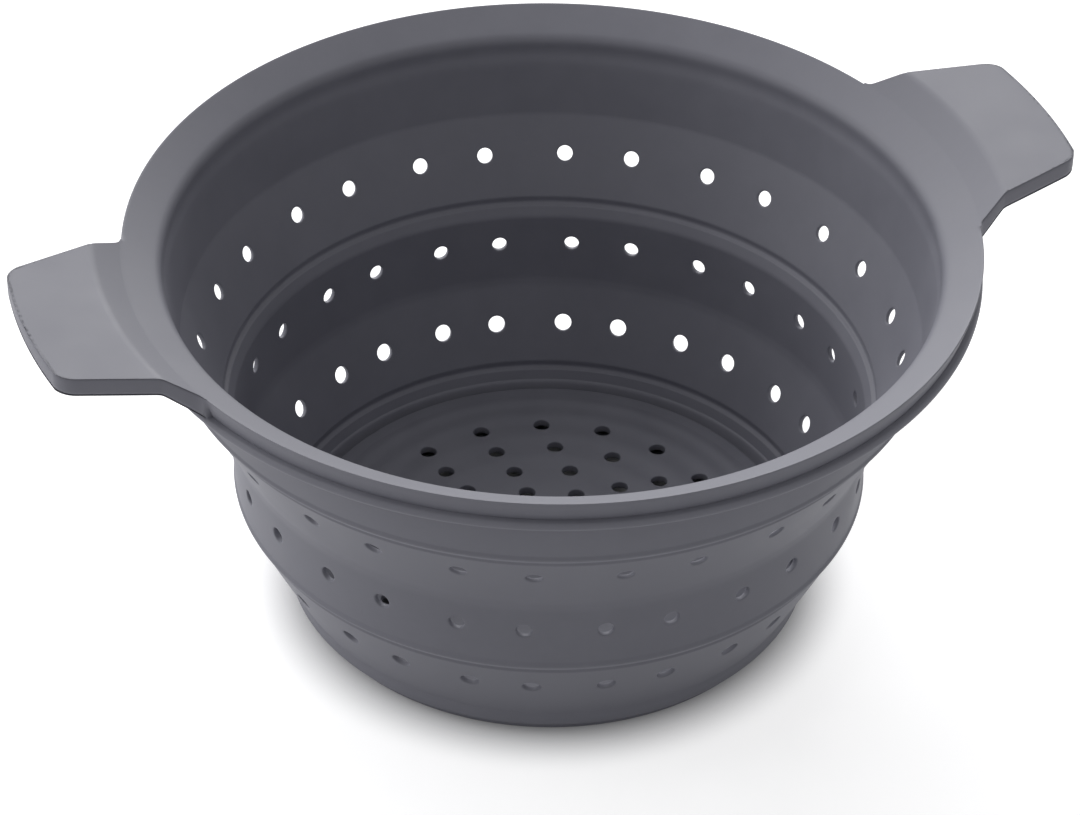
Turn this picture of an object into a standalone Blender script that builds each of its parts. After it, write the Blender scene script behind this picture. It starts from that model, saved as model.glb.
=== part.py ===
"""Collapsible silicone steamer insert for a 24 cm pot.

A funnel-shaped rim with two raised handles carries a bowl wall that folds twice.
The wall is a collar, a folding cone, a middle band, a second folding cone and a base,
joined by thin moulded hinge rings. Origin: centre of the foot's resting plane, +Z up,
handles along X. All sizes are in metres.
"""

import math

import bmesh
import bpy
from mathutils import Matrix

# The pot that the collar drops into
POT_RADIUS = 0.1200
POT_CLEARANCE = 0.0002

# Rim: a flange that rises outwards from the collar, with a flat underside that sits on the pot
FLANGE_WIDTH = 0.0120
FLANGE_RISE = 0.0065
SEAT_DROP = 0.0002
RIM_EDGE_ROUND = 0.0006
RIM_STUB_DEPTH = 0.0028

# Wall: how far each zone narrows towards its foot, how tall it is and how far it swells
# outwards from a straight cone
WALL = 0.0018
COLLAR_TAPER = 0.0046
COLLAR_HEIGHT = 0.0261
COLLAR_SWELL = 0.0002
UPPER_CONE_STEP = 0.0156
UPPER_CONE_HEIGHT = 0.0306
UPPER_CONE_SWELL = 0.0003
BAND_TAPER = 0.0016
BAND_HEIGHT = 0.0245
BAND_SWELL = 0.0004
LOWER_CONE_STEP = 0.0140
LOWER_CONE_HEIGHT = 0.0306
LOWER_CONE_SWELL = 0.0002

# Hinge rings: the outer two lie just below an outer fold, the inner two above an inner one
OUTER_HINGE_DROP = 0.0018
UPPER_HINGE_RISE = 0.0048
LOWER_HINGE_RISE = 0.0044
HINGE_HEIGHT = 0.0030
GROOVE_DEPTH = 0.0009
GROOVE_HALF_WIDTH = 0.0009
LIP_HEIGHT = 0.0003
GAP = 0.0003
WALL_STATIONS = 2

# Perforations: a row of paired holes in each cone and in the band, so far above the zone's foot
HOLE_RADIUS = 0.0027
PAIRS = 14
PAIR_ANGLE = math.radians(11.7)
UPPER_PHASE = math.radians(8.8)
MIDDLE_PHASE = math.radians(7.2)
LOWER_PHASE = math.radians(8.2)
UPPER_ROW_RISE = 0.0186
MIDDLE_ROW_RISE = 0.0145
LOWER_ROW_RISE = 0.0172
HOLE_SIDES = 8
CUTTER_LENGTH = 0.012

# Floor holes: rings at even steps from the centre, each with three more holes than the last
FLOOR_HOLE_RADIUS = 0.0026
FLOOR_RING_PITCH = 0.01165
FLOOR_RING_FIRST = 2
FLOOR_RING_COUNT_STEP = 3
FLOOR_HOLE_MARGIN = 0.0120
FLOOR_RING_PHASES = tuple(math.radians(angle) for angle in (5.0, 26.5, 17.5, 10.5))

# Base: a rounded corner ring, a ribbed floor and a foot under the corner
FLOOR_TOP = 0.0104
FLOOR_THICKNESS = 0.0024
FLOOR_INSET = 0.0082
FOLD_OVER_FLOOR = 0.0009
CORNER_LEDGE = 0.0055
CORNER_DROP = 0.0009
CORNER_CLEARANCE = 0.0030
CORNER_STEPS = 4
EDGE_GROOVE_DEPTH = 0.0012
# Floor shoulder and bottom of the edge groove, as shares of the way from floor to wall
EDGE_GROOVE_SHARES = (0.40, 0.74)
# How far each ridge of the floor lies inside the floor's edge
RIDGE_INSETS = (0.0047, 0.0117, 0.0229, 0.0322, 0.0461)
RIDGE_HEIGHT = 0.0006
RIDGE_HALF_WIDTH = 0.0009
FOOT_INSET = 0.0015
FOOT_WIDTH = 0.0042

# Handles: trapezoid grips that rise from the rim to a crease and then level out
HANDLE_CREASE_REACH = 0.0084
HANDLE_REACH = 0.0343
HANDLE_CREASE_RISE = 0.0055
HANDLE_RISE = 0.0074
HANDLE_ROOT_HALF_WIDTH = 0.0405
HANDLE_CREASE_HALF_WIDTH = 0.0356
HANDLE_END_HALF_WIDTH = 0.0282
HANDLE_THICKNESS = 0.0060
CREASE_ROUND = 0.0012
HANDLE_CORNER = 0.0045
HANDLE_CORNER_STEPS = 3
HANDLE_COLUMNS = 8

# Inner face of the wall, as (radius, height), where one zone meets the next
MOUTH_RADIUS = POT_RADIUS - POT_CLEARANCE - WALL
LOWER_INNER_FOLD = (
    MOUTH_RADIUS - COLLAR_TAPER - UPPER_CONE_STEP - BAND_TAPER - LOWER_CONE_STEP,
    FLOOR_TOP + FOLD_OVER_FLOOR,
)
LOWER_OUTER_FOLD = (LOWER_INNER_FOLD[0] + LOWER_CONE_STEP, LOWER_INNER_FOLD[1] + LOWER_CONE_HEIGHT)
UPPER_INNER_FOLD = (LOWER_OUTER_FOLD[0] + BAND_TAPER, LOWER_OUTER_FOLD[1] + BAND_HEIGHT)
UPPER_OUTER_FOLD = (UPPER_INNER_FOLD[0] + UPPER_CONE_STEP, UPPER_INNER_FOLD[1] + UPPER_CONE_HEIGHT)
FLANGE_EDGE = (MOUTH_RADIUS, UPPER_OUTER_FOLD[1] + COLLAR_HEIGHT)

# What the rim, the floor and the handles take from the wall
SEAT_Z = FLANGE_EDGE[1] - SEAT_DROP
RIM_RADIUS = MOUTH_RADIUS + FLANGE_WIDTH
RIM_TOP = FLANGE_EDGE[1] + FLANGE_RISE
FLOOR_RADIUS = LOWER_INNER_FOLD[0] - FLOOR_INSET
FLOOR_BOTTOM = FLOOR_TOP - FLOOR_THICKNESS
# (radius of the arc, half width, height of the top) of a handle at its root, crease and end
HANDLE_ROOT = (RIM_RADIUS + GAP, HANDLE_ROOT_HALF_WIDTH, RIM_TOP)
HANDLE_CREASE = (
    RIM_RADIUS + HANDLE_CREASE_REACH, HANDLE_CREASE_HALF_WIDTH, RIM_TOP + HANDLE_CREASE_RISE
)
HANDLE_END = (RIM_RADIUS + HANDLE_REACH, HANDLE_END_HALF_WIDTH, RIM_TOP + HANDLE_RISE)

SEGMENTS = 48
FLOOR_SEGMENTS = 40
WELD = 0.000001
SLOPE_STEP = 0.0005
EMPTY_SIZE = 0.02
SHARP_ANGLE = math.radians(35)

SILICONE_RIM = (0.200, 0.198, 0.218)
SILICONE_WALL = (0.105, 0.104, 0.116)
SILICONE_ROUGHNESS = 0.52


def clear_scene():
    for obj in list(bpy.data.objects):
        bpy.data.objects.remove(obj, do_unlink=True)


def silicone(name, colour):
    material = bpy.data.materials.new(name)
    material.use_nodes = True
    shader = material.node_tree.nodes["Principled BSDF"]
    shader.inputs["Base Color"].default_value = (*colour, 1.0)
    shader.inputs["Roughness"].default_value = SILICONE_ROUGHNESS
    shader.inputs["Metallic"].default_value = 0.0
    material.diffuse_color = (*colour, 1.0)
    return material


def group_empty(name, height):
    empty = bpy.data.objects.new(name, None)
    empty.empty_display_size = EMPTY_SIZE
    empty.location = (0.0, 0.0, height)
    bpy.context.collection.objects.link(empty)
    bpy.context.view_layer.update()
    return empty


def add_object(name, bm, material, parent):
    """Finish a bmesh as a smooth-shaded object that hangs on its body's empty."""
    bmesh.ops.recalc_face_normals(bm, faces=bm.faces)
    mesh = bpy.data.meshes.new(name)
    bm.to_mesh(mesh)
    bm.free()
    mesh.shade_smooth()
    mesh.set_sharp_from_angle(angle=SHARP_ANGLE)
    mesh.materials.append(material)
    obj = bpy.data.objects.new(name, mesh)
    bpy.context.collection.objects.link(obj)
    obj.parent = parent
    obj.matrix_parent_inverse = parent.matrix_world.inverted()
    return obj


def turned(outline, closed=True, segments=SEGMENTS):
    """Spin an outline of (radius, height) points about Z; an open one starts and ends on the axis."""
    bm = bmesh.new()
    ring = [bm.verts.new((radius, 0.0, height)) for radius, height in outline]
    edges = [bm.edges.new(pair) for pair in zip(ring, ring[1:])]
    if closed:
        edges.append(bm.edges.new((ring[-1], ring[0])))
    bmesh.ops.spin(
        bm, geom=ring + edges, cent=(0, 0, 0), axis=(0, 0, 1), angle=math.tau, steps=segments
    )
    bmesh.ops.remove_doubles(bm, verts=bm.verts, dist=WELD)
    return bm


def zones():
    """Top fold, bottom fold and swell of each stretch of wall, from the rim down."""
    return (
        (FLANGE_EDGE, UPPER_OUTER_FOLD, COLLAR_SWELL),
        (UPPER_OUTER_FOLD, UPPER_INNER_FOLD, UPPER_CONE_SWELL),
        (UPPER_INNER_FOLD, LOWER_OUTER_FOLD, BAND_SWELL),
        (LOWER_OUTER_FOLD, LOWER_INNER_FOLD, LOWER_CONE_SWELL),
    )


def inner_radius(height):
    """Radius of the wall's inner face, a chain of slightly swollen cones."""
    for top, bottom, swell in zones():
        share = (top[1] - height) / (top[1] - bottom[1])
        if share <= 1.0:
            break
    straight = top[0] + (bottom[0] - top[0]) * share
    return straight + swell * 4.0 * share * (1.0 - min(share, 1.0))


def outer_radius(height):
    return inner_radius(height) + WALL


def wall_slope(height):
    """Change of the wall's radius for each metre of height."""
    above, below = inner_radius(height + SLOPE_STEP), inner_radius(height - SLOPE_STEP)
    return (above - below) / (2.0 * SLOPE_STEP)


def wall_ring(top, bottom):
    """Outline of a stretch of wall, outer side first, from the top down."""
    heights = {top + (bottom - top) * i / WALL_STATIONS for i in range(WALL_STATIONS + 1)}
    heights.update(fold[1] for fold, _, _ in zones() if bottom < fold[1] < top)
    heights = sorted(heights, reverse=True)
    outer = [(outer_radius(z), z) for z in heights]
    inner = [(inner_radius(z), z) for z in reversed(heights)]
    return outer + inner


def hinge_ring(centre, grooved_outside):
    """Outline of a hinge: a short ring, thinned by a groove with a lip on each side."""
    half = HINGE_HEIGHT / 2
    plain = ((half, 0.0), (-half, 0.0))
    grooved = (
        (half, 0.0),
        (GROOVE_HALF_WIDTH, LIP_HEIGHT),
        (0.0, -GROOVE_DEPTH),
        (-GROOVE_HALF_WIDTH, LIP_HEIGHT),
        (-half, 0.0),
    )
    outer = [
        (outer_radius(centre + offset) + relief, centre + offset)
        for offset, relief in (grooved if grooved_outside else plain)
    ]
    inner = [
        (inner_radius(centre + offset) - relief, centre + offset)
        for offset, relief in (plain if grooved_outside else grooved)
    ]
    return outer + inner[::-1]


def flange_top(radius):
    return FLANGE_EDGE[1] + (radius - FLANGE_EDGE[0]) * FLANGE_RISE / FLANGE_WIDTH


def flange_outline():
    """Sloping flange with a flat seat underneath and a short stub of wall."""
    stub = SEAT_Z - RIM_STUB_DEPTH
    rounded = RIM_RADIUS - RIM_EDGE_ROUND
    return [
        (rounded, flange_top(rounded)),
        (RIM_RADIUS, flange_top(rounded) - RIM_EDGE_ROUND),
        (RIM_RADIUS, SEAT_Z + RIM_EDGE_ROUND),
        (rounded, SEAT_Z),
        (outer_radius(SEAT_Z), SEAT_Z),
        (outer_radius(stub), stub),
        (inner_radius(stub), stub),
        (inner_radius(SEAT_Z - RIM_EDGE_ROUND), SEAT_Z - RIM_EDGE_ROUND),
        (FLANGE_EDGE[0] + RIM_EDGE_ROUND, flange_top(FLANGE_EDGE[0] + RIM_EDGE_ROUND)),
    ]


def hole_angles(phase):
    for pair in range(PAIRS):
        centre = phase + math.tau * pair / PAIRS
        yield centre - PAIR_ANGLE / 2
        yield centre + PAIR_ANGLE / 2


def cutter(name, placements, radius, parent):
    """One hidden object with a round bar at each placement, to be cut from a piece."""
    bm = bmesh.new()
    for placement in placements:
        bmesh.ops.create_cone(
            bm, cap_ends=True, segments=HOLE_SIDES, radius1=radius, radius2=radius,
            depth=CUTTER_LENGTH, matrix=placement,
        )
    obj = add_object(name, bm, bpy.data.materials["silicone_wall"], parent)
    obj.hide_render = True
    obj.display_type = "WIRE"
    return obj


def cut(obj, tool):
    boolean = obj.modifiers.new("perforations", "BOOLEAN")
    boolean.operation = "DIFFERENCE"
    boolean.solver = "EXACT"
    boolean.object = tool


def row_placements(height, phase):
    """Bars square to the wall at one height, in pairs."""
    radius = inner_radius(height) + WALL / 2
    tilt = math.atan(wall_slope(height))
    for angle in hole_angles(phase):
        spin = Matrix.Rotation(angle, 4, "Z")
        lean = Matrix.Rotation(math.pi / 2 + tilt, 4, "Y")
        yield spin @ Matrix.Translation((radius, 0.0, height)) @ lean


def floor_placements():
    rings = int((FLOOR_RADIUS - FLOOR_HOLE_MARGIN) / FLOOR_RING_PITCH)
    for ring in range(FLOOR_RING_FIRST, rings + 1):
        count = FLOOR_RING_COUNT_STEP * (ring + 1)
        first = FLOOR_RING_PHASES[(ring - FLOOR_RING_FIRST) % len(FLOOR_RING_PHASES)]
        for i in range(count):
            spin = Matrix.Rotation(first + math.tau * i / count, 4, "Z")
            yield spin @ Matrix.Translation((ring * FLOOR_RING_PITCH, 0.0, FLOOR_TOP))


def add_perforated_ring(name, top, bottom, row, phase, material, parent):
    ring = add_object(name, turned(wall_ring(top, bottom)), material, parent)
    cut(ring, cutter(name + "_holes", row_placements(row, phase), HOLE_RADIUS, parent))


def corner_ring_outline(top):
    """Foot of the wall, rounded underneath, with a groove inside it round the floor."""
    start = FLOOR_TOP - CORNER_DROP
    shoulder = outer_radius(start)
    bottom = FLOOR_RADIUS + CORNER_LEDGE
    rounded = [(outer_radius(top), top)]
    for i in range(CORNER_STEPS + 1):
        turn = math.pi / 2 * i / CORNER_STEPS
        rounded.append((
            bottom + (shoulder - bottom) * math.cos(turn),
            start - (start - CORNER_CLEARANCE) * math.sin(turn),
        ))
    wall = LOWER_INNER_FOLD[0]
    groove = [
        (FLOOR_RADIUS + (wall - FLOOR_RADIUS) * share, FLOOR_TOP - drop)
        for share, drop in zip(EDGE_GROOVE_SHARES, (0.0, EDGE_GROOVE_DEPTH))
    ]
    seam = [(FLOOR_RADIUS, CORNER_CLEARANCE), (FLOOR_RADIUS, FLOOR_TOP)]
    return rounded + seam + groove + [LOWER_INNER_FOLD, (inner_radius(top), top)]


def floor_outline():
    """Half section of the floor, from the centre of its top to the centre of its underside."""
    top = [(0.0, FLOOR_TOP)]
    for inset in reversed(RIDGE_INSETS):
        radius = FLOOR_RADIUS - inset
        top += [
            (radius - RIDGE_HALF_WIDTH, FLOOR_TOP),
            (radius, FLOOR_TOP + RIDGE_HEIGHT),
            (radius + RIDGE_HALF_WIDTH, FLOOR_TOP),
        ]
    edge = FLOOR_RADIUS - GAP
    return top + [(edge, FLOOR_TOP), (edge, FLOOR_BOTTOM), (0.0, FLOOR_BOTTOM)]


def foot_outline():
    outer = FLOOR_RADIUS + CORNER_LEDGE - FOOT_INSET
    inner = outer - FOOT_WIDTH
    top = CORNER_CLEARANCE - GAP
    return [(outer, top), (outer, 0.0), (inner, 0.0), (inner, top)]


def handle_edge(radius):
    """Half width and top height of the handle's straight sides at a radius."""
    near, far = (HANDLE_ROOT, HANDLE_CREASE) if radius < HANDLE_CREASE[0] else (HANDLE_CREASE, HANDLE_END)
    share = (radius - near[0]) / (far[0] - near[0])
    return [start + (end - start) * share for start, end in zip(near[1:], far[1:])]


def handle_stations():
    """Radius, half width and top height of the arcs that the handle is lofted through."""
    crease = HANDLE_CREASE[0]
    for radius in (HANDLE_ROOT[0], crease - CREASE_ROUND, crease + CREASE_ROUND):
        yield radius, *handle_edge(radius)
    for i in range(HANDLE_CORNER_STEPS + 1):
        turn = math.pi / 2 * i / HANDLE_CORNER_STEPS
        radius = HANDLE_END[0] - HANDLE_CORNER * (1.0 - math.sin(turn))
        width, top = handle_edge(radius)
        yield radius, width - HANDLE_CORNER * (1.0 - math.cos(turn)), top


def add_handle(name, direction, material, parent):
    """Loft a grip through arcs that are concentric with the rim, then close it all round."""
    bm = bmesh.new()
    layers = []
    for drop in (0.0, HANDLE_THICKNESS):
        rows = []
        for radius, width, top in handle_stations():
            row = []
            for column in range(HANDLE_COLUMNS + 1):
                side = width * (2.0 * column / HANDLE_COLUMNS - 1.0)
                row.append(bm.verts.new((math.sqrt(radius**2 - side**2), side, top - drop)))
            rows.append(row)
        layers.append(rows)
    for rows in layers:
        for near, far in zip(rows, rows[1:]):
            for i in range(HANDLE_COLUMNS):
                bm.faces.new((near[i], near[i + 1], far[i + 1], far[i]))
    bmesh.ops.bridge_loops(bm, edges=[edge for edge in bm.edges if edge.is_boundary])
    obj = add_object(name, bm, material, parent)
    obj.rotation_euler = (0.0, 0.0, direction)


def build():
    clear_scene()
    rim_material = silicone("silicone_rim", SILICONE_RIM)
    wall_material = silicone("silicone_wall", SILICONE_WALL)
    half = HINGE_HEIGHT / 2 + GAP
    upper_outer = UPPER_OUTER_FOLD[1] - OUTER_HINGE_DROP
    upper_inner = UPPER_INNER_FOLD[1] + UPPER_HINGE_RISE
    lower_outer = LOWER_OUTER_FOLD[1] - OUTER_HINGE_DROP
    lower_inner = LOWER_INNER_FOLD[1] + LOWER_HINGE_RISE

    rim = group_empty("rim_body", SEAT_Z)
    add_object("rim_flange", turned(flange_outline()), rim_material, rim)
    add_handle("handle_right", 0.0, rim_material, rim)
    add_handle("handle_left", math.pi, rim_material, rim)
    collar_top = SEAT_Z - RIM_STUB_DEPTH - GAP
    add_object("collar", turned(wall_ring(collar_top, upper_outer + half)), wall_material, rim)
    add_object("upper_outer_hinge", turned(hinge_ring(upper_outer, True)), wall_material, rim)

    middle = group_empty("middle_body", upper_inner)
    add_perforated_ring(
        "upper_fold_cone", upper_outer - half, upper_inner + half, UPPER_INNER_FOLD[1] + UPPER_ROW_RISE,
        UPPER_PHASE, wall_material, middle,
    )
    add_object("upper_inner_hinge", turned(hinge_ring(upper_inner, False)), wall_material, middle)
    add_perforated_ring(
        "middle_band", upper_inner - half, lower_outer + half, LOWER_OUTER_FOLD[1] + MIDDLE_ROW_RISE,
        MIDDLE_PHASE, wall_material, middle,
    )
    add_object("lower_outer_hinge", turned(hinge_ring(lower_outer, True)), wall_material, middle)

    base = group_empty("base_body", 0.0)
    add_perforated_ring(
        "lower_fold_cone", lower_outer - half, lower_inner + half, LOWER_INNER_FOLD[1] + LOWER_ROW_RISE,
        LOWER_PHASE, wall_material, base,
    )
    add_object("lower_inner_hinge", turned(hinge_ring(lower_inner, False)), wall_material, base)
    add_object("base_corner", turned(corner_ring_outline(lower_inner - half)), wall_material, base)
    floor = add_object("base_floor", turned(floor_outline(), False, FLOOR_SEGMENTS), wall_material, base)
    cut(floor, cutter("base_floor_holes", floor_placements(), FLOOR_HOLE_RADIUS, base))
    add_object("foot_ring", turned(foot_outline()), wall_material, base)


build()
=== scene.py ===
"""Collapsible silicone steamer insert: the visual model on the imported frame.

The wall is a chain of cones that fold at moulded hinge rings. Its rim flows into two raised
grips. Origin: centre of the foot's resting plane, +Z up, grips along X. Sizes are in metres.
"""

import math

import bmesh
import bpy
from bpy.props import FloatProperty, FloatVectorProperty, PointerProperty
from mathutils import Matrix, Vector


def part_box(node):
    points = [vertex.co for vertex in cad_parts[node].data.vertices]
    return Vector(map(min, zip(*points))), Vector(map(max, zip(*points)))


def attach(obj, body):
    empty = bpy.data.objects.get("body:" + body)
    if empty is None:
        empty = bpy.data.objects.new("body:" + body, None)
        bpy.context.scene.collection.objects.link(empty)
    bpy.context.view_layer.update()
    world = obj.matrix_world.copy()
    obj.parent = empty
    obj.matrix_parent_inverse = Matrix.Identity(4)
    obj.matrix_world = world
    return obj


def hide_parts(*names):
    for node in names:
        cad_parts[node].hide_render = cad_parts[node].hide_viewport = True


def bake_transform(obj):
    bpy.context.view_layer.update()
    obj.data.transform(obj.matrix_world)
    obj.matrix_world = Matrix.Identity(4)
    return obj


bl_info = {
    "name": "Collapsible Silicone Steamer Insert",
    "version": (1, 0, 0),
    "blender": (4, 5, 0),
    "location": "3D View > Sidebar > Steamer",
    "description": "Builds a folding silicone steamer insert with two grips, piece by piece",
    "category": "Object",
}

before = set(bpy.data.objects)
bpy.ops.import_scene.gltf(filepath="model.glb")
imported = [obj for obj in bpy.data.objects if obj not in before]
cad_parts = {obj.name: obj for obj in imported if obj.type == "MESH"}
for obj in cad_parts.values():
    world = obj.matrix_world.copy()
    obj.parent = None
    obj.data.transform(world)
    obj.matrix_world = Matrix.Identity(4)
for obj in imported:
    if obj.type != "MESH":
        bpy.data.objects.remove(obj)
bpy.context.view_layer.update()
SPANS = {node: tuple(corner.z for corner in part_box(node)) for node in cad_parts}

WALL_NODES = (
    "rim_flange", "collar", "upper_outer_hinge", "upper_fold_cone", "upper_inner_hinge", "middle_band",
    "lower_outer_hinge", "lower_fold_cone", "lower_inner_hinge", "base_corner",
)
HINGES = WALL_NODES[2:9:2]
SILICONE_RIM = "silicone_rim"
SILICONE_WALL = "silicone_wall"

# Merging distance, and the angle from which an edge is drawn sharp
WELD = 0.000002
SMOOTH_ANGLE = math.radians(42)

# Wall: columns of faces, and rows that are fine at the folds and hinges
COLUMNS = 280
FINE_ROW = 0.00016
COARSE_ROW = 0.0016
ROW_GROWTH = 0.35
HINGE_REACH = 0.0024
GROOVE_SKEW = 0.6

# Holes: width of the faces round each in edge roundings, cuts outside them, bevel segments
HOLE_COLLAR = 2.5
HOLE_CUTS = 2
HOLE_SEGMENTS = 3

# Wall holes: pairs in a row, faces and half height of a hole's cell, and where it stands square
PAIRS = 14
CELL_COLUMNS = 10
CELL_ROWS = 6
CELL_HALF = 0.0054
SQUARE_HALF = 0.0045
SQUARE_FADE = 0.004
SLOPE_REACH = 0.002

# Rim: columns of faces at each grip and between the grips, and which edges are rounded
GRIP_COLUMNS = 28
FREE_COLUMNS = 110
ROUNDED_ANGLE = math.radians(50)
UPWARD = 0.6

# Rim outline: points on the lip, shares along flange, outer face and seat, heights above the
# stub's foot, the bead's arc in degrees, and the seat's inset in bead radii
LIP_POINTS = 6
FLANGE_SHARES = (0.12, 0.3, 0.5, 0.7, 0.82, 0.90, 1.0)
FACE_SHARES = (0.35, 0.65, 1.0)
SEAT_SHARES = (0.0, 0.3, 0.6, 0.9, 1.0)
STUB_INSIDE = (0.0, 0.0003)
STUB_OUTSIDE = (0.0012, 0.0004, 0.0)
BEAD_ARC = range(60, -151, -15)
SEAT_INSET = 2.4

# Grip: rows of faces on the root fillet, on slope, crease and level part, and on the end
FILLET_ROWS = 6
SIDE_ROWS = (4, 8, 9)
END_ROWS = 8

# Floor: faces, rounding of a hole's edge, and each ring of holes: its number from the centre,
# count of holes, angle of the first in degrees and rows of faces
FLOOR_COLUMNS = 180
FLOOR_EDGE_ROUND = 0.0003
FLOOR_RING_HALF = 0.0043
FLOOR_RINGS = ((2, 9, 5.0, 4), (3, 12, 26.5, 5), (4, 15, 17.5, 4), (5, 18, 10.5, 6))
FLOOR_ROW = 0.0009
FLOOR_EDGE_ROWS = 14

# Ripples: radius of each crest and valley, and its height in full ripples
RIPPLES = (
    (0.0, 0.6), (0.0080, 0.6), (0.0130, 0.0), (0.0180, 0.0), (0.0265, 1.0), (0.0355, 0.1),
    (0.0415, 1.0), (0.0468, 0.0), (0.0525, 1.0), (0.0585, -0.1), (0.0632, 0.9), (0.0678, 0.0),
    (0.0714, 0.9), (0.0742, 0.4),
)

# Corner and foot: points on each curve, half the seam beside the floor, foot's width and flare
CORNER_POINTS = 14
UNDERSIDE_POINTS = 4
CORNER_TOP_POINTS = 40
SEAM_HALF = 0.00015
FOOT_POINTS = 5
FOOT_WIDTH = 0.0042
FOOT_FLARE = 0.0009

# Camera: turn of the photograph's axes about Z, tilt down, roll, where the target lies to its
# right, below it and ahead of it, and the target's height
PHOTO_TURN = math.radians(21.84607)
CAMERA_DIP = math.radians(37.75471)
CAMERA_ROLL = math.radians(0.87067)
CAMERA_OFFSET = (0.003734, -0.047667, 1.253874)
CAMERA_TARGET = 0.1231

# Stage: softbox side, and the floor: half width, colour as it lights and as it is seen, and
# how far from the axis a glow lifts it to white, leaving a disc of painted shade round the foot
WHITE = (1.0, 1.0, 1.0, 1.0)
SOFTBOX_SIZE = 1.0
FLOOR_HALF = 6.0
FLOOR_BOUNCE = (0.82, 0.82, 0.83, 1.0)
FLOOR_SEEN = (0.70, 0.70, 0.71, 1.0)
# The floor's glow fades out towards the axis, so the disc round the foot is painted shade over the real
# shadow
FLOOR_LIFT = 0.68
LIFT_START = 0.074
LIFT_END = 0.100


def low(node):
    """Height of a node's underside."""
    return SPANS[node][0]


def high(node):
    """Height of a node's top."""
    return SPANS[node][1]


def seam(upper, lower):
    """Height halfway across the gap between two neighbouring nodes."""
    return (low(upper) + high(lower)) / 2


def ends(node):
    """Heights of the seams above and below a node of the wall."""
    i = WALL_NODES.index(node)
    return seam(WALL_NODES[i - 1], node), seam(node, WALL_NODES[i + 1])


def middle(node):
    """Height halfway up a node."""
    return (low(node) + high(node)) / 2


def length(**settings):
    """Property for a length in metres."""
    return FloatProperty(**{"unit": "LENGTH", "precision": 4, **settings})


def lengths(default, **settings):
    """Property for several lengths in metres."""
    settings = {"unit": "LENGTH", "precision": 4, **settings}
    return FloatVectorProperty(size=len(default), default=default, **settings)


class WallSizes(bpy.types.PropertyGroup):
    """Shape of the folding wall, as values at the mouth and at the four folds below it."""

    fold_radii: lengths(
        name="Fold Radii", description="Radius of the inner face at the mouth and at each fold",
        default=(0.1180, 0.1134, 0.0978, 0.0962, 0.0822),
    )
    fold_heights: lengths(
        name="Fold Heights", description="Height of the mouth and of each fold",
        default=(0.1231, 0.0970, 0.0664, 0.0419, 0.0113),
    )
    thicknesses: lengths(
        name="Wall at Folds", description="Thickness of the wall at the mouth and at each fold",
        default=(0.0018, 0.0019, 0.0021, 0.0021, 0.0014),
    )
    inner_swells: lengths(
        name="Inner Swells", description="How far the inner face of each zone bellies outwards",
        default=(0.0002, 0.0002, 0.0003, 0.0002),
    )
    outer_swells: lengths(
        name="Outer Swells", description="How far the outer face of each zone bellies outwards",
        default=(0.0004, -0.0003, -0.0001, 0.0003),
    )
    inner_rounds: lengths(
        name="Inner Fold Rounding", description="Half height of the soft turn inside the first three folds",
        default=(0.0007, 0.0010, 0.0020),
    )
    outer_rounds: lengths(
        name="Outer Fold Rounding", description="Half height of the soft turn outside the first three folds",
        default=(0.0012, 0.0030, 0.0012),
    )
    outer_groove: lengths(
        name="Outer Hinge Groove", description="Half height and depth of the grooves on the outside",
        default=(0.0013, 0.0005),
    )
    inner_groove: lengths(
        name="Inner Hinge Groove", description="Half height and depth of the grooves on the inside",
        default=(0.0016, 0.0011),
    )
    groove_drop: length(
        name="Groove Drop", description="How far a groove's deepest line lies below its hinge's middle",
        default=0.0009,
    )
    ridge: lengths(
        name="Fold Ridge", description="Half height and height of the ridge along each outer fold",
        default=(0.0018, 0.0006),
    )
    neck: lengths(
        name="Neck Under The Lip", description="Height, half height and depth of the hollow under the mouth",
        default=(0.1180, 0.0042, 0.0004),
    )


class HoleSizes(bpy.types.PropertyGroup):
    """The rows of paired steam holes."""

    radii: lengths(
        name="Wall Hole Radii", description="Throat radius in the upper cone, the band and the lower cone",
        default=(0.00255, 0.00240, 0.00280), precision=5,
    )
    edge_round: length(
        name="Hole Edge Rounding", description="Radius that softens the mouth of each hole", default=0.0004,
    )
    pair_angle: FloatProperty(
        name="Pair Angle", description="Angle between the two holes of a pair",
        default=math.radians(11.7), subtype="ANGLE",
    )
    phases: FloatVectorProperty(
        name="Row Phases", description="Angle of each row's first pair from the grip axis",
        size=3, default=[math.radians(angle) for angle in (8.8, 7.0, 8.2)], unit="ROTATION",
    )
    row_heights: lengths(
        name="Row Heights", description="Height of the hole row in upper cone, band and lower cone",
        default=(0.0850, 0.0563, 0.0285),
    )


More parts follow.
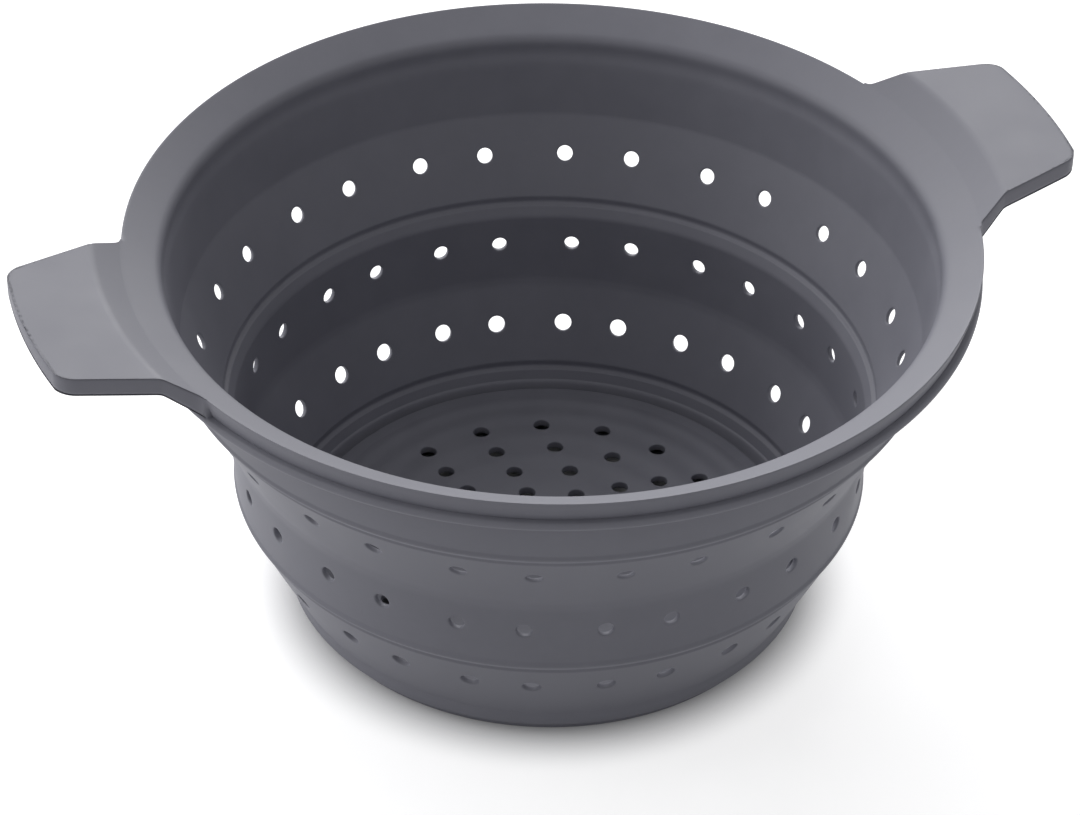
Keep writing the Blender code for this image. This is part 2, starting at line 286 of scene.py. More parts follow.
class RimSizes(bpy.types.PropertyGroup):
    """The sloping flange and the grips that grow out of it."""

    radius: length(name="Rim Radius", description="Outer radius of the flange", default=0.1300)
    top: length(name="Rim Top", description="Height of the flange's outer edge", default=0.1296)
    seat: length(
        name="Seat Height", description="Height of the flat underside that rests on the pot", default=0.1229,
    )
    lip_round: length(
        name="Mouth Lip Rounding", description="How far the mouth's lip is rounded each way", default=0.0020,
    )
    top_round: length(
        name="Top Edge Rounding", description="Rounding along the upper outline of flange and grips",
        default=0.0009,
    )
    under_round: length(
        name="Lower Edge Rounding", description="Rounding along the lower outline of flange and grips",
        default=0.0013,
    )
    face_foot: lengths(
        name="Outer Face Foot", description="Radius and height where the outer face meets the bead below it",
        default=(0.1279, 0.1224),
    )
    bead: length(
        name="Edge Bead Radius", description="Radius of the bead under the flange's outer face",
        default=0.0016,
    )
    grip_root: length(
        name="Grip Root Half Width", description="Half width of a grip where it leaves the rim",
        default=0.0405,
    )
    grip_crease: lengths(
        name="Grip Crease", description="Arc radius, half width and height of the top at the crease",
        default=(0.1384, 0.0356, 0.1351),
    )
    grip_end: lengths(
        name="Grip End", description="Arc radius, half width and height of the top at the end",
        default=(0.1643, 0.0282, 0.1370),
    )
    grip_thickness: length(
        name="Grip Thickness", description="Thickness of a grip beyond its crease", default=0.0060,
    )
    root_fillet: length(
        name="Root Fillet", description="Length of the fillet where a grip's side meets the rim",
        default=0.0017,
    )
    end_corner: length(
        name="End Corner Radius", description="Radius of a grip's two outer corners in plan", default=0.0041,
    )
    crease_round: length(
        name="Crease Rounding", description="Half length of the soft turn at the crease", default=0.0014,
    )


class BaseSizes(bpy.types.PropertyGroup):
    """The rippled floor, the corner round it and the foot."""

    floor_top: length(
        name="Floor Height", description="Height of the floor in the valleys of its ripples", default=0.0104,
    )
    ripple: length(
        name="Ripple Height", description="Height of the crests above the valleys",
        default=0.0005, precision=5,
    )
    ring_pitch: length(
        name="Hole Ring Pitch", description="Distance between the rings of floor holes",
        default=0.01165, precision=5,
    )
    hole_radius: length(
        name="Floor Hole Radius", description="Radius of a hole in the floor", default=0.0026,
    )
    edge_groove: lengths(
        name="Edge Groove", description="Radius, half width and depth of the groove between wall and floor",
        default=(0.0797, 0.0021, 0.0028),
    )
    edge_bead: lengths(
        name="Base Bead", description="Height, half height and swell of the bead round the foot of the wall",
        default=(0.0048, 0.0022, 0.0006),
    )
    corner_start: length(
        name="Corner Start", description="Height where the wall begins to round under", default=0.0098,
    )
    corner_foot: length(
        name="Corner Foot Radius", description="Radius where the rounding meets the underside",
        default=0.0793,
    )
    foot_rounding: length(
        name="Foot Rounding", description="Rounding along both edges of the foot", default=0.0007,
    )


class SiliconeLook(bpy.types.PropertyGroup):
    """Colour and surface of the silicone."""

    colour: FloatVectorProperty(
        name="Colour", description="Colour of the silicone, linear",
        size=3, default=(0.176, 0.177, 0.209), subtype="COLOR", min=0.0, max=1.0,
    )
    bloom: FloatVectorProperty(
        name="Bloom Colour", description="Paler colour of the faint bloom on worn silicone, linear",
        size=3, default=(0.196, 0.197, 0.230), subtype="COLOR", min=0.0, max=1.0,
    )
    roughness: FloatProperty(
        name="Roughness", description="Middle value of the surface roughness",
        default=0.50, min=0.0, max=1.0,
    )


class StageLook(bpy.types.PropertyGroup):
    """Camera and light."""

    focal_length: FloatProperty(
        name="Focal Length", description="Lens of the camera", default=138.24, unit="CAMERA",
    )
    back_power: FloatProperty(
        name="Back Light", description="Power of the light behind the object", default=17.0, unit="POWER",
    )
    corner_power: FloatProperty(
        name="Corner Light", description="Power of the light at the back left", default=7.0, unit="POWER",
    )
    side_power: FloatProperty(
        name="Side Light", description="Power of the low light on the left", default=8.5, unit="POWER",
    )
    surroundings: FloatProperty(
        name="Surroundings", description="Brightness of the studio round the object", default=0.37,
    )


def fold_turns(radii, heights, rounds, height):
    """What the soft turns at the folds add to the radius at a height."""
    added = 0.0
    for i, half in enumerate(rounds, start=1):
        away = half - abs(height - heights[i])
        if away > 0.0:
            above = (radii[i - 1] - radii[i]) / (heights[i - 1] - heights[i])
            below = (radii[i] - radii[i + 1]) / (heights[i] - heights[i + 1])
            added += (above - below) * away**2 / (4.0 * half)
    return added


def cone_chain(radii, heights, swells, rounds, height):
    """Radius at a height on a run of slightly swollen cones that turn softly at the folds."""
    for i, swell in enumerate(swells):
        share = (heights[i] - height) / (heights[i] - heights[i + 1])
        if share <= 1.0:
            break
    straight = radii[i] + (radii[i + 1] - radii[i]) * share
    inside = min(max(share, 0.0), 1.0)
    return straight + swell * 4.0 * inside * (1.0 - inside) + fold_turns(radii, heights, rounds, height)


def groove(place, centre, half, depth, skew=0.0):
    """Depth of a rounded groove at a height or radius; a skewed one is longer on its upper side."""
    offset = (place - centre) / half
    offset /= 1.0 + skew if offset > 0.0 else 1.0 - skew
    return depth * math.cos(offset * math.pi / 2.0) ** 2 if abs(offset) < 1.0 else 0.0


def inner_radius(wall, height):
    """Radius of the wall's inner face, with the grooves at both inner hinges and the neck."""
    radius = cone_chain(
        wall.fold_radii, wall.fold_heights, wall.inner_swells, wall.inner_rounds, height
    )
    for node in ("upper_inner_hinge", "lower_inner_hinge"):
        radius += groove(height, middle(node) - wall.groove_drop, *wall.inner_groove, GROOVE_SKEW)
    return radius + groove(height, *wall.neck)


def outer_radius(wall, height):
    """Radius of the wall's outer face, with a groove at each outer hinge and a ridge above it."""
    radii = [radius + wall_there for radius, wall_there in zip(wall.fold_radii, wall.thicknesses)]
    radius = cone_chain(radii, wall.fold_heights, wall.outer_swells, wall.outer_rounds, height)
    for node, fold in (("upper_outer_hinge", 1), ("lower_outer_hinge", 3)):
        radius -= groove(height, middle(node) - wall.groove_drop, *wall.outer_groove)
        radius += groove(height, wall.fold_heights[fold], *wall.ridge)
    return radius


def row_heights(wall, top, bottom):
    """Heights from top to bottom, close together at both ends and at the folds and grooves."""
    marks = [top, bottom, *wall.fold_heights[1:4]]
    marks += [middle(node) for node in HINGES]
    rows = [top]
    while rows[-1] > bottom:
        near = min(abs(rows[-1] - mark) for mark in marks)
        rows.append(rows[-1] - min(COARSE_ROW, FINE_ROW + ROW_GROWTH * max(near - HINGE_REACH, 0.0)))
    reach = top - rows[-1]
    return [top - (top - row) * (top - bottom) / reach for row in rows]


def add_node(tree, kind, values=None):
    """New node, with some of its inputs set."""
    node = tree.nodes.new(kind)
    for socket, value in (values or {}).items():
        node.inputs[socket].default_value = value
    return node


def wire(tree, source, output, target, socket):
    """Link one node's output to another node's input."""
    tree.links.new(source.outputs[output], target.inputs[socket])


def silicone_group():
    """Node group of the silicone's skin: mottled colour, uneven sheen and a fine moulded grain."""
    group = bpy.data.node_groups.get("silicone_skin")
    if group:
        return group
    group = bpy.data.node_groups.new("silicone_skin", "ShaderNodeTree")
    add_socket = group.interface.new_socket
    for name, kind, value in (
        ("Colour", "NodeSocketColor", (0.17, 0.17, 0.19, 1.0)),
        ("Bloom", "NodeSocketColor", (0.19, 0.19, 0.21, 1.0)),
        ("Roughness", "NodeSocketFloat", 0.5),
        ("Mottle Scale", "NodeSocketFloat", 55.0),
        ("Grain Scale", "NodeSocketFloat", 2600.0),
    ):
        add_socket(name=name, in_out="INPUT", socket_type=kind).default_value = value
    for name, kind in (("Colour", "Color"), ("Roughness", "Float"), ("Height", "Float")):
        add_socket(name=name, in_out="OUTPUT", socket_type="NodeSocket" + kind)
    source, result = group.nodes.new("NodeGroupInput"), group.nodes.new("NodeGroupOutput")
    place = group.nodes.new("ShaderNodeTexCoord")

    mottle = add_node(group, "ShaderNodeTexNoise", {"Detail": 4.0, "Roughness": 0.6})
    wire(group, place, "Object", mottle, "Vector")
    wire(group, source, "Mottle Scale", mottle, "Scale")
    spread = add_node(group, "ShaderNodeMapRange", {"From Min": 0.30, "From Max": 0.72})
    wire(group, mottle, "Fac", spread, "Value")
    blend = group.nodes.new("ShaderNodeMix")
    blend.data_type = "RGBA"
    wire(group, spread, "Result", blend, "Factor")
    wire(group, source, "Colour", blend, "A")
    wire(group, source, "Bloom", blend, "B")
    wire(group, blend, "Result", result, "Colour")

    uneven = add_node(group, "ShaderNodeMath", {1: 0.10})
    uneven.operation = "MULTIPLY_ADD"
    wire(group, spread, "Result", uneven, 0)
    wire(group, source, "Roughness", uneven, 2)
    wire(group, uneven, "Value", result, "Roughness")

    grain = add_node(group, "ShaderNodeTexNoise", {"Detail": 2.0})
    wire(group, place, "Object", grain, "Vector")
    wire(group, source, "Grain Scale", grain, "Scale")
    wire(group, grain, "Fac", result, "Height")
    return group


def silicone(name):
    """Material with the shared skin; built once for each slot name."""
    finish = name + "_finish"
    material = bpy.data.materials.get(finish)
    if material:
        return material
    look = bpy.context.scene.steamer_silicone
    material = bpy.data.materials.new(finish)
    material.use_nodes = True
    tree = material.node_tree
    shader = tree.nodes["Principled BSDF"]
    shader.inputs["IOR"].default_value = 1.41
    skin = tree.nodes.new("ShaderNodeGroup")
    skin.node_tree = silicone_group()
    skin.inputs["Colour"].default_value = (*look.colour, 1.0)
    skin.inputs["Bloom"].default_value = (*look.bloom, 1.0)
    skin.inputs["Roughness"].default_value = look.roughness
    bump = add_node(tree, "ShaderNodeBump", {"Strength": 0.25, "Distance": 0.00004})
    wire(tree, skin, "Colour", shader, "Base Color")
    wire(tree, skin, "Roughness", shader, "Roughness")
    wire(tree, skin, "Height", bump, "Height")
    wire(tree, bump, "Normal", shader, "Normal")
    material.diffuse_color = (*look.colour, 1.0)
    return material


def add_object(name, data):
    """New object with this data, linked into the scene."""
    obj = bpy.data.objects.new(name, data)
    bpy.context.scene.collection.objects.link(obj)
    return obj


def new_piece(name, bm, slot):
    """Close the work on a bmesh: outward faces, smooth shading, silicone finish."""
    bmesh.ops.remove_doubles(bm, verts=bm.verts, dist=WELD)
    bmesh.ops.recalc_face_normals(bm, faces=bm.faces)
    if bm.calc_volume(signed=True) < 0.0:
        bmesh.ops.reverse_faces(bm, faces=bm.faces)
    if any(not edge.is_manifold for edge in bm.edges):
        raise RuntimeError(name + " isn't closed")
    mesh = bpy.data.meshes.new(name)
    bm.to_mesh(mesh)
    bm.free()
    mesh.shade_smooth()
    mesh.set_sharp_from_angle(angle=SMOOTH_ANGLE)
    mesh.materials.append(silicone(slot))
    obj = add_object(name, mesh)
    return obj


def closed_line(bm, outline):
    """Closed line through (radius, height) points, in the XZ plane."""
    ring = [bm.verts.new((point[0], 0.0, point[1])) for point in outline]
    edges = [bm.edges.new(pair) for pair in zip(ring, ring[1:] + ring[:1])]
    return ring, edges


def spun(outline):
    """Spin a closed outline of (radius, height) points once about Z."""
    bm = bmesh.new()
    ring, edges = closed_line(bm, outline)
    bmesh.ops.spin(
        bm, geom=ring + edges, cent=(0, 0, 0), axis=(0, 0, 1), angle=math.tau,
        steps=COLUMNS, use_merge=True,
    )
    bmesh.ops.remove_doubles(bm, verts=bm.verts, dist=WELD)
    return bm


def wall_ring(wall, top, bottom):
    """Closed outline of a stretch of wall, outer side first, from the top down."""
    rows = row_heights(wall, top, bottom)
    outer = [(outer_radius(wall, z), z) for z in rows]
    inner = [(inner_radius(wall, z), z) for z in reversed(rows)]
    return outer + inner


def boundary_at(bm, y):
    """Boundary edges that lie along a line of constant Y."""
    return [
        edge for edge in bm.edges
        if edge.is_boundary and all(abs(vert.co.y - y) < WELD for vert in edge.verts)
    ]


def verts_of(made):
    """Vertices among the geometry that an operator returns."""
    return [item for item in made if isinstance(item, bmesh.types.BMVert)]


def extend(bm, edges, steps):
    """Extrude a row of edges along Y, one step at a time."""
    for step in steps:
        made = bmesh.ops.extrude_edge_only(bm, edges=edges)["geom"]
        edges = [
            item for item in made
            if isinstance(item, bmesh.types.BMEdge) and abs(item.verts[0].co.y - item.verts[1].co.y) < WELD
        ]
        bmesh.ops.translate(bm, verts=verts_of(made), vec=(0.0, step, 0.0))


def bridge_to_circle(bm, centre, radius, edge_round, segments):
    """Join the loop that bm holds to a round hole, with a narrow collar of faces at its edge."""
    place = Matrix.Translation(centre)
    collar = radius + HOLE_COLLAR * edge_round
    bmesh.ops.create_circle(bm, cap_ends=False, segments=segments, radius=collar, matrix=place)
    bmesh.ops.bridge_loops(bm, edges=bm.edges[:])

    def on_circle(vert):
        return abs((vert.co - centre).length - collar) < WELD

    spokes = [edge for edge in bm.edges if on_circle(edge.verts[0]) != on_circle(edge.verts[1])]
    rim = [edge for edge in bm.edges if on_circle(edge.verts[0]) and on_circle(edge.verts[1])]
    bmesh.ops.subdivide_edges(bm, edges=spokes, cuts=HOLE_CUTS)
    made = bmesh.ops.extrude_edge_only(bm, edges=rim)["geom"]
    shrink = radius / collar
    bmesh.ops.scale(
        bm, vec=(shrink, shrink, 1.0), space=Matrix.Translation(-centre), verts=verts_of(made)
    )


def thicken(bm, depth):
    """Give a flat sheet that faces +Z its thickness, walls of the holes included."""
    made = bmesh.ops.extrude_face_region(bm, geom=bm.faces[:], use_keep_orig=True)["geom"]
    bmesh.ops.translate(bm, verts=verts_of(made), vec=(0.0, 0.0, depth))


def repeat_round(bm, count):
    """Repeat all that bm holds round Z, count times in all."""
    bmesh.ops.spin(
        bm, geom=bm.verts[:] + bm.edges[:] + bm.faces[:], cent=(0, 0, 0), axis=(0, 0, 1),
        angle=math.tau * (count - 1) / count, steps=count - 1, use_duplicate=True,
    )


def round_hole_edges(bm, centres, radius, edge_round):
    """Soften both mouths of every hole."""
    def on_hole(vert):
        flat = vert.co.to_2d()
        return any(abs((flat - centre).length - radius) < WELD for centre in centres)

    edges = [
        edge for edge in bm.edges
        if abs(edge.verts[0].co.z - edge.verts[1].co.z) < WELD
        and on_hole(edge.verts[0]) and on_hole(edge.verts[1])
    ]
    bmesh.ops.bevel(
        bm, geom=edges, offset=edge_round, offset_type="OFFSET", segments=HOLE_SEGMENTS,
        profile=0.5, affect="EDGES", clamp_overlap=True, material=-1,
    )


def flat_rows(wall, start, end, stretch):
    """Steps along the flat sheet from the edge of the holes' cells to the end of the zone."""
    heights = row_heights(wall, max(start, end), min(start, end))
    if end > start:
        heights.reverse()
    return [(b - a) / stretch for a, b in zip(heights, heights[1:])]


def perforated_ring(name, top, bottom, index):
    """Ring of wall with one of the rows of paired holes, square to the wall."""
    wall, holes = bpy.context.scene.steamer_wall, bpy.context.scene.steamer_holes
    row, hole_radius = holes.row_heights[index], holes.radii[index]
    depth = outer_radius(wall, row) - inner_radius(wall, row)
    around = inner_radius(wall, row) + depth / 2.0
    above, below = inner_radius(wall, row + SLOPE_REACH), inner_radius(wall, row - SLOPE_REACH)
    slope = (above - below) / (2.0 * SLOPE_REACH)
    stretch = math.cos(math.atan(slope))
    width = math.pi / PAIRS * around
    centre = Vector((holes.pair_angle / 2.0 * around, 0.0, 0.0))

    bm = bmesh.new()
    bmesh.ops.create_grid(bm, x_segments=CELL_COLUMNS, y_segments=CELL_ROWS, size=0.5)
    bmesh.ops.delete(bm, geom=[vert for vert in bm.verts if not vert.is_boundary], context="VERTS")
    bmesh.ops.translate(bm, verts=bm.verts, vec=(0.5, 0.0, 0.0))
    bmesh.ops.scale(bm, verts=bm.verts, vec=(width, 2.0 * CELL_HALF, 1.0))
    bridge_to_circle(bm, centre, hole_radius, holes.edge_round, 2 * (CELL_COLUMNS + CELL_ROWS))
    for y, end in ((CELL_HALF, top), (-CELL_HALF, bottom)):
        extend(bm, boundary_at(bm, y), flat_rows(wall, row + y * stretch, end, stretch))
    bmesh.ops.mirror(bm, geom=bm.verts[:] + bm.edges[:] + bm.faces[:], merge_dist=WELD, axis="X")
    bmesh.ops.recalc_face_normals(bm, faces=bm.faces)
    if bm.faces[0].normal.z < 0.0:
        bmesh.ops.reverse_faces(bm, faces=bm.faces)
    thicken(bm, depth)
    sides = [
        face for face in bm.faces if all(abs(abs(vert.co.x) - width) < WELD for vert in face.verts)
    ]
    bmesh.ops.delete(bm, geom=sides, context="FACES")
    centres = [centre.to_2d(), Vector((-centre.x, 0.0))]
    round_hole_edges(bm, centres, hole_radius, holes.edge_round)

    for vert in bm.verts:
        share = vert.co.z / depth
        height = row + vert.co.y * stretch
        lean = 1.0 - min(max((abs(vert.co.y) - SQUARE_HALF) / SQUARE_FADE, 0.0), 1.0)
        height -= (share - 0.5) * depth * slope * stretch**2 * lean**2 * (3.0 - 2.0 * lean)
        inside, outside = inner_radius(wall, height), outer_radius(wall, height)
        angle = holes.phases[index] + vert.co.x / around
        radius = inside + (outside - inside) * share
        vert.co = (radius * math.cos(angle), radius * math.sin(angle), height)
    repeat_round(bm, PAIRS)
    return new_piece(name, bm, SILICONE_WALL)


def grip_edge(rim, radius):
    """Half width and top height of a grip's straight sides at a radius."""
    near, far = (rim.radius, rim.grip_root, rim.top), rim.grip_crease
    if radius > rim.grip_crease[0]:
        near, far = rim.grip_crease, rim.grip_end
    share = (radius - near[0]) / (far[0] - near[0])
    width, top = [near[i] + (far[i] - near[i]) * share for i in (1, 2)]
    radii = (rim.radius, rim.grip_crease[0], rim.grip_end[0])
    tops = (rim.top, rim.grip_crease[2], rim.grip_end[2])
    return width, top - fold_turns(tops, radii, (rim.crease_round,), radius)


def grip_stations(rim):
    """Arc radius, half width and top height of the rows that a grip is drawn out through."""
    start, fillet = Vector((rim.radius, rim.grip_root + rim.root_fillet)), rim.root_fillet
    bend = Vector((rim.radius, rim.grip_root))
    along = Vector((rim.radius + fillet, grip_edge(rim, rim.radius + fillet)[0])) - bend
    finish = bend + along.normalized() * fillet
    for i in range(1, FILLET_ROWS + 1):
        t = i / FILLET_ROWS
        point = start * (1.0 - t) ** 2 + bend * 2.0 * t * (1.0 - t) + finish * t**2
        yield point[0], point[1], grip_edge(rim, point[0])[1]
    crease, end = rim.grip_crease[0], rim.grip_end[0] - rim.end_corner
    marks = (finish[0], crease - rim.crease_round, crease + rim.crease_round, end)
    for start, stop, rows in zip(marks, marks[1:], SIDE_ROWS):
        for i in range(1, rows + 1):
            radius = start + (stop - start) * i / rows
            yield radius, *grip_edge(rim, radius)
    for i in range(1, END_ROWS + 1):
        turn = math.pi / 2.0 * i / END_ROWS
        radius = end + rim.end_corner * math.sin(turn)
        width, top = grip_edge(rim, radius)
        yield radius, width - rim.end_corner * (1.0 - math.cos(turn)), top


def draw_out_grip(bm, rim, side, root_angle):
    """Extrude the rim's outer face in one sector through the grip's rows."""
    foot_radius, foot_height = rim.face_foot

    def in_sector(face):
        return abs(face.normal.z) < 0.5 and all(
            math.hypot(*vert.co.xy) > foot_radius - WELD and vert.co.z > foot_height - WELD
            and abs(math.atan2(vert.co.y, vert.co.x * side)) < root_angle + WELD
            for vert in face.verts
        )

    patch = [face for face in bm.faces if in_sector(face)]
    if not patch:
        raise RuntimeError("the rim has no face to draw a grip from")
    depth = rim.top - foot_height
    last_sine, last_top, last_depth = math.sin(root_angle), rim.top, depth
    for radius, width, top in grip_stations(rim):
        made = bmesh.ops.extrude_face_region(bm, geom=patch)["geom"]
        bmesh.ops.delete(bm, geom=[face for face in patch if face.is_valid], context="FACES")
        patch = [item for item in made if isinstance(item, bmesh.types.BMFace)]
        settle = min(max((radius - rim.radius) / (rim.grip_crease[0] - rim.radius), 0.0), 1.0)
        thickness = depth + (rim.grip_thickness - depth) * settle
        for vert in {vert for face in patch for vert in face.verts}:
            y = vert.co.y / math.hypot(*vert.co.xy) / last_sine * width
            down = (last_top - vert.co.z) / last_depth
            vert.co = (side * math.sqrt(radius**2 - y**2), y, top - down * thickness)
        last_sine, last_top, last_depth = width / radius, top, thickness


def rim_outline(wall, rim):
    """Closed outline of the flange and its stub of wall, from the stub's inner foot upwards."""
    stub = seam("rim_flange", "collar")
    lip = rim.lip_round
    mouth, mouth_height = wall.fold_radii[0], wall.fold_heights[0]
    slope = (rim.top - mouth_height) / (rim.radius - mouth)
    low_end = Vector((inner_radius(wall, mouth_height - lip), mouth_height - lip))
    corner = Vector((mouth, mouth_height))
    high_end = Vector((mouth + lip, mouth_height + lip * slope))
    points = [Vector((inner_radius(wall, stub + z), stub + z)) for z in STUB_INSIDE]
    for i in range(LIP_POINTS + 1):
        t = i / LIP_POINTS
        points.append(low_end * (1.0 - t) ** 2 + corner * 2.0 * t * (1.0 - t) + high_end * t**2)
    edge = Vector((rim.radius, rim.top))
    points += [high_end.lerp(edge, share) for share in FLANGE_SHARES]
    foot, bead = Vector(rim.face_foot), rim.bead
    points += [edge.lerp(foot, share) for share in FACE_SHARES]
    centre = Vector((rim.radius - bead, foot[1] - bead))
    for degrees in BEAD_ARC:
        turn = math.radians(degrees)
        points.append(centre + bead * Vector((math.cos(turn), math.sin(turn))))
    seat_start, seat_end = rim.radius - SEAT_INSET * bead, outer_radius(wall, rim.seat)
    for share in SEAT_SHARES:
        points.append(Vector((seat_start + (seat_end - seat_start) * share, rim.seat)))
    return points + [Vector((outer_radius(wall, stub + z), stub + z)) for z in STUB_OUTSIDE]


class STEAMER_OT_rim_with_grips(bpy.types.Operator):
    """Build the flange and draw both grips out of its outer face"""

    bl_idname = "steamer.rim_with_grips"
    bl_label = "Rim With Grips"

    def execute(self, context):
        wall, rim = context.scene.steamer_wall, context.scene.steamer_rim
        root_angle = math.asin((rim.grip_root + rim.root_fillet) / rim.radius)
        bm = bmesh.new()
        ring, edges = closed_line(bm, rim_outline(wall, rim))
        bmesh.ops.rotate(bm, verts=ring, cent=(0, 0, 0), matrix=Matrix.Rotation(-root_angle, 3, "Z"))
        geom = ring + edges
        sectors = ((2.0 * root_angle, GRIP_COLUMNS), (math.pi - 2.0 * root_angle, FREE_COLUMNS))
        for angle, steps in sectors * 2:
            geom = bmesh.ops.spin(
                bm, geom=geom, cent=(0, 0, 0), axis=(0, 0, 1), angle=angle, steps=steps
            )["geom_last"]
        bmesh.ops.remove_doubles(bm, verts=bm.verts, dist=WELD)
        for vert in bm.verts:
            for side in (1.0, -1.0):
                turn = math.atan2(vert.co.y * side, vert.co.x * side)
                if abs(turn) < root_angle + WELD:
                    eased = math.sin(math.pi / 2.0 * max(-1.0, min(1.0, turn / root_angle)))
                    target = math.asin(eased * math.sin(root_angle))
                    vert.co.rotate(Matrix.Rotation(target - turn, 3, "Z"))
        bmesh.ops.recalc_face_normals(bm, faces=bm.faces)
        for side in (1.0, -1.0):
            draw_out_grip(bm, rim, side, root_angle)
        bmesh.ops.recalc_face_normals(bm, faces=bm.faces)
        for upper, rounding, segments in ((True, rim.top_round, 3), (False, rim.under_round, 4)):
            edges = [
                edge for edge in bm.edges
                if min(math.hypot(*vert.co.xy) for vert in edge.verts) >= rim.radius - WELD
                and edge.calc_face_angle_signed(0.0) >= ROUNDED_ANGLE
                and (max(face.normal.z for face in edge.link_faces) > UPWARD) == upper
            ]
            bmesh.ops.bevel(
                bm, geom=edges, offset=rounding, offset_type="OFFSET", segments=segments,
                profile=0.5, affect="EDGES", clamp_overlap=False, material=-1,
            )
        obj = new_piece("rim_with_grips", bm, SILICONE_RIM)
        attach(obj, "rim_body")
        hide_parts("rim_flange", "handle_left", "handle_right")
        return {"FINISHED"}


class STEAMER_OT_plain_rings(bpy.types.Operator):
    """Build the collar that drops into the pot and the four grooved rings that the wall folds at"""

    bl_idname = "steamer.plain_rings"
    bl_label = "Collar And Hinge Rings"

    def execute(self, context):
        for node, name, body in (
            ("collar", "wall_collar", "rim_body"),
            ("upper_outer_hinge", "upper_outer_hinge_ring", "rim_body"),
            ("upper_inner_hinge", "upper_inner_hinge_ring", "middle_body"),
            ("lower_outer_hinge", "lower_outer_hinge_ring", "middle_body"),
            ("lower_inner_hinge", "lower_inner_hinge_ring", "base_body"),
        ):
            outline = wall_ring(context.scene.steamer_wall, *ends(node))
            obj = new_piece(name, spun(outline), SILICONE_WALL)
            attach(obj, body)
            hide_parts(node)
        return {"FINISHED"}


class STEAMER_OT_folding_cones(bpy.types.Operator):
    """Build the two perforated cones of the wall, standing at rest; on the real insert they roll over when
    the wall folds
    """

    bl_idname = "steamer.folding_cones"
    bl_label = "Folding Cones"

    def execute(self, context):
        for node, index, carrier, carried in (
            ("upper_fold_cone", 0, "rim_body", "middle_body"),
            ("lower_fold_cone", 2, "middle_body", "base_body"),
        ):
            top, bottom = ends(node)
            obj = perforated_ring(node + "_wall", top, bottom, index)
            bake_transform(obj)
            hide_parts(node)
        return {"FINISHED"}


class STEAMER_OT_middle_band(bpy.types.Operator):
    """Build the steep perforated band between the two cones"""

    bl_idname = "steamer.middle_band"
    bl_label = "Middle Band"

    def execute(self, context):
        obj = perforated_ring("middle_band_wall", *ends("middle_band"), 1)
        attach(obj, "middle_body")
        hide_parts("middle_band")
        return {"FINISHED"}


def ripple(base, radius):
    """Height of the floor's top at a radius: shallow rings that fade at the centre."""
    for (start, level), (end, next_level) in zip(RIPPLES, RIPPLES[1:]):
        if radius <= end:
            share = (radius - start) / (end - start)
            eased = share * share * (3.0 - 2.0 * share)
            return base.floor_top + base.ripple * (level + (next_level - level) * eased)
    return base.floor_top + base.ripple * RIPPLES[-1][1]


def floor_edge():
    """Radius halfway across the gap between the floor and the corner."""
    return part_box("base_floor")[1].x + SEAM_HALF


def polar_strip(bm, inner, outer, rows, columns, first):
    """Flat fan of faces between two radii, a few columns of the floor's grid wide."""
    step = math.tau / FLOOR_COLUMNS
    start = Matrix.Rotation(first * step, 3, "Z")
    verts = [
        bm.verts.new(start @ Vector((inner + (outer - inner) * i / rows, 0.0, 0.0)))
        for i in range(rows + 1)
    ]
    edges = [bm.edges.new(pair) for pair in zip(verts, verts[1:])]
    bmesh.ops.spin(
        bm, geom=verts + edges, cent=(0, 0, 0), axis=(0, 0, 1), angle=step * columns, steps=columns
    )


def perforated_strip(base, radius, count, phase, rows):
    """Ring of flat faces with evenly spaced holes, as a mesh of its own."""
    columns = FLOOR_COLUMNS // count
    step = math.tau / FLOOR_COLUMNS
    first = round(phase / step - columns / 2.0)
    bm = bmesh.new()
    polar_strip(bm, radius - FLOOR_RING_HALF, radius + FLOOR_RING_HALF, rows, columns, first)
    bmesh.ops.remove_doubles(bm, verts=bm.verts, dist=WELD)
    bmesh.ops.delete(bm, geom=[vert for vert in bm.verts if not vert.is_boundary], context="VERTS")
    centre = Vector((radius * math.cos(phase), radius * math.sin(phase), 0.0))
    bridge_to_circle(bm, centre, base.hole_radius, FLOOR_EDGE_ROUND, 2 * (columns + rows))
    repeat_round(bm, count)
    return bm


